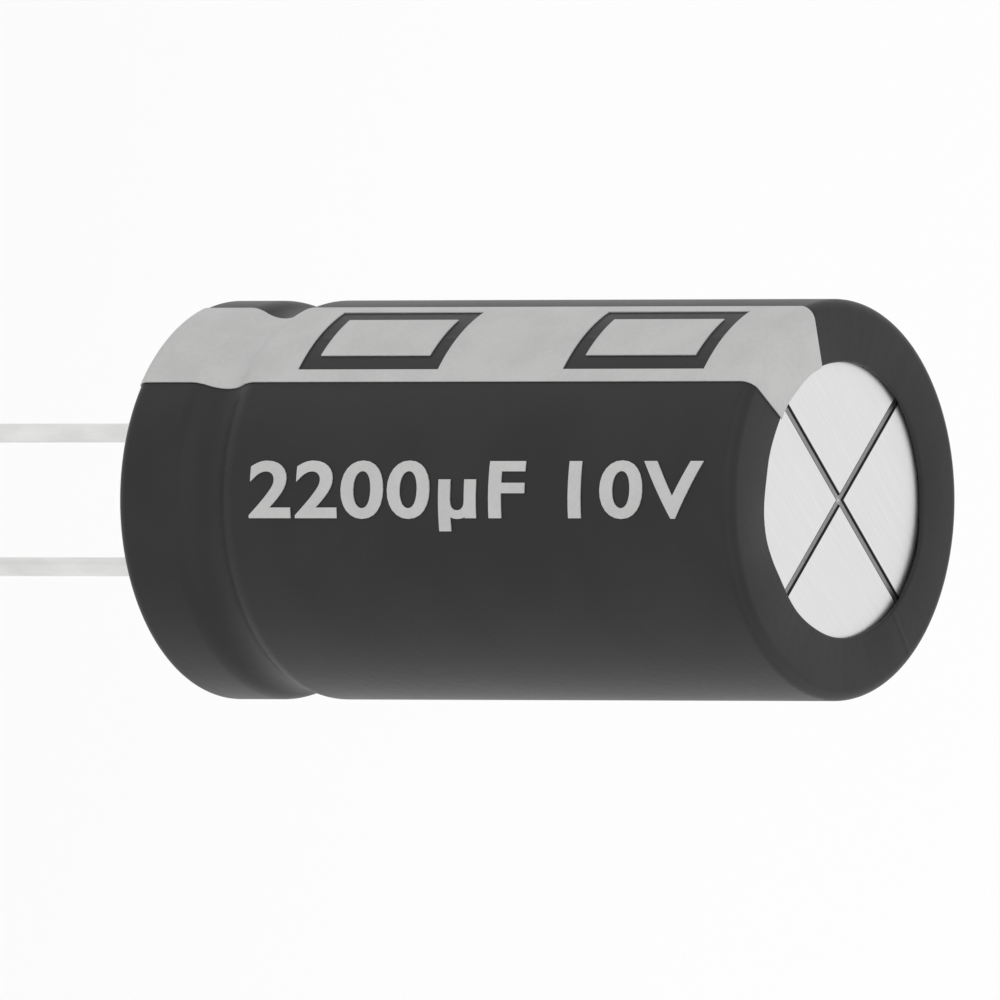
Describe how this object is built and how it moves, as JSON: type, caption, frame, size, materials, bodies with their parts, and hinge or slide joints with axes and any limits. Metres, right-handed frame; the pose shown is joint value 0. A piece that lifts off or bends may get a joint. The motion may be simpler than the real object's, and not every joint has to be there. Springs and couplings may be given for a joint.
{
  "type": "electrolytic capacitor",
  "caption": "Radial aluminium electrolytic capacitor: sleeved can with a beaded neck, cross-scored vent top, rubber bung and straight wire leads.",
  "frame": {"origin": "centre of the seating plane, where the foot of the sleeve meets a board", "axes": "+Z along the can from the seat to the vent, +X towards the positive lead, leads towards -Z"},
  "size_m": [0.0105, 0.0104, 0.0397],
  "materials": {
    "sleeve": "shrunk film, dark grey, satin",
    "print": "flat light grey ink",
    "can": "drawn, satin",
    "bung": "moulded, matt",
    "lead": "tinned copper-clad steel wire",
    "tab": "bare",
    "separator": "soaked in electrolyte",
    "anode": "etched and formed, matt",
    "cathode": "etched, matt",
    "tape": "clear adhesive tape"
  },
  "bodies": {
    "root": {"sleeve": "sleeve", "stripe_print": "print", "can": "can", "bung": "bung", "positive_lead": "lead", "negative_lead": "lead", "positive_tab": "tab", "negative_tab": "tab", "inner_paper": "separator", "anode_foil": "anode", "outer_paper": "separator", "cathode_foil": "cathode", "closing_tape": "tape"}
  },
  "joints": []
}
